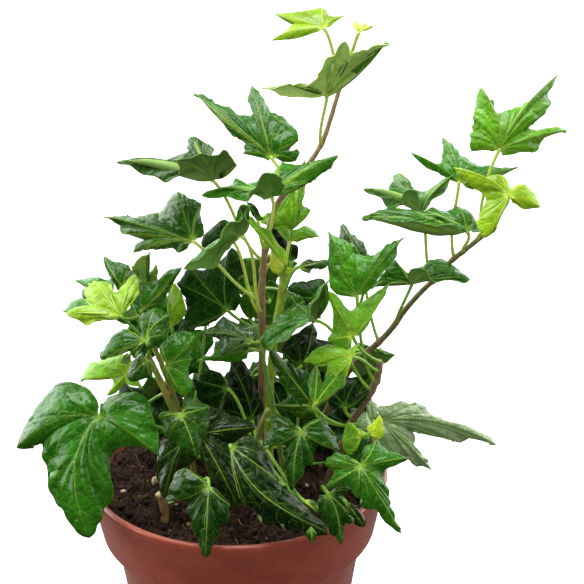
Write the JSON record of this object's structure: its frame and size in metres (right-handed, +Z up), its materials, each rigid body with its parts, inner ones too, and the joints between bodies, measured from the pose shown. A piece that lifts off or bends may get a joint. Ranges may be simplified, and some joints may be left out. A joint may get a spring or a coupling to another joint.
{
  "type": "potted ivy",
  "caption": "Ivy with lobed glossy leaves on thin rooted shoots, growing in peat soil in a round tapered plastic nursery pot with a stepped rim.",
  "frame": {"origin": "centre of the flat underside of the pot, on the surface it stands on", "axes": "+Z up along the pot's axis, -Y towards the viewer of the picture, +X to the viewer's right"},
  "size_m": [0.2058, 0.1254, 0.2736],
  "materials": {
    "pot_plastic": "satin, slightly translucent at the rim",
    "peat": "rough, fibrous, damp",
    "dead_wood": "dry, cut end",
    "shoot_bark": "matt, with nodes",
    "shoot_green": "smooth",
    "leaf_dark": "glossy, pale veins",
    "leaf_mid": "glossy, pale veins",
    "leaf_grey": "satin, greyish sheen",
    "leaf_young": "glossy, soft young growth"
  },
  "bodies": {
    "root": {"leaf_back_centre": "leaf_mid", "leaf_back_left": "leaf_mid", "leaf_back_right": "leaf_mid", "leaf_centre_deep": "leaf_dark", "leaf_centre_folded": "leaf_mid", "leaf_centre_grey": "leaf_grey", "leaf_centre_heart": "leaf_dark", "leaf_centre_large": "leaf_dark", "leaf_centre_low": "leaf_dark", "leaf_centre_upright": "leaf_mid", "leaf_front_bottom": "leaf_dark", "leaf_front_dark": "leaf_dark", "leaf_front_heart": "leaf_mid", "leaf_front_left": "leaf_dark", "leaf_front_low_right": "leaf_dark", "leaf_front_lower": "leaf_dark", "leaf_front_right": "leaf_mid", "leaf_front_shadow": "leaf_dark", "leaf_front_star": "leaf_dark", "leaf_front_two_tone": "leaf_mid", "leaf_left_bright": "leaf_young", "leaf_left_folded": "leaf_young", "leaf_left_glossy": "leaf_mid", "leaf_left_inner": "leaf_mid", "leaf_left_point": "leaf_mid", "leaf_left_round": "leaf_dark", "leaf_left_wings": "leaf_mid", "leaf_lime_left": "leaf_young", "leaf_lime_middle": "leaf_young", "leaf_middle_curled": "leaf_mid", "leaf_middle_dark": "leaf_dark", "leaf_pale_middle": "leaf_young", "leaf_right_back": "leaf_grey", "leaf_right_flat": "leaf_mid", "leaf_right_high": "leaf_mid", "leaf_right_lime": "leaf_young", "leaf_right_low": "leaf_mid", "leaf_right_mid": "leaf_mid", "leaf_right_middle": "leaf_mid", "leaf_right_pale": "leaf_grey", "leaf_right_top": "leaf_mid", "leaf_top": "leaf_young", "leaf_top_underside": "leaf_young", "leaf_upper_left_high": "leaf_mid", "leaf_upper_left_long": "leaf_mid", "leaf_upper_left_low": "leaf_mid", "leaf_upper_middle": "leaf_mid", "pot": "pot_plastic", "shoot_centre": "shoot_bark", "shoot_front": "shoot_green", "shoot_green": "shoot_green", "shoot_left": "shoot_bark", "shoot_left_back": "shoot_green", "shoot_lime": "shoot_green", "shoot_right": "shoot_bark", "shoot_right_long": "shoot_bark", "soil": "peat", "stem_stub": "dead_wood"}
  },
  "joints": []
}
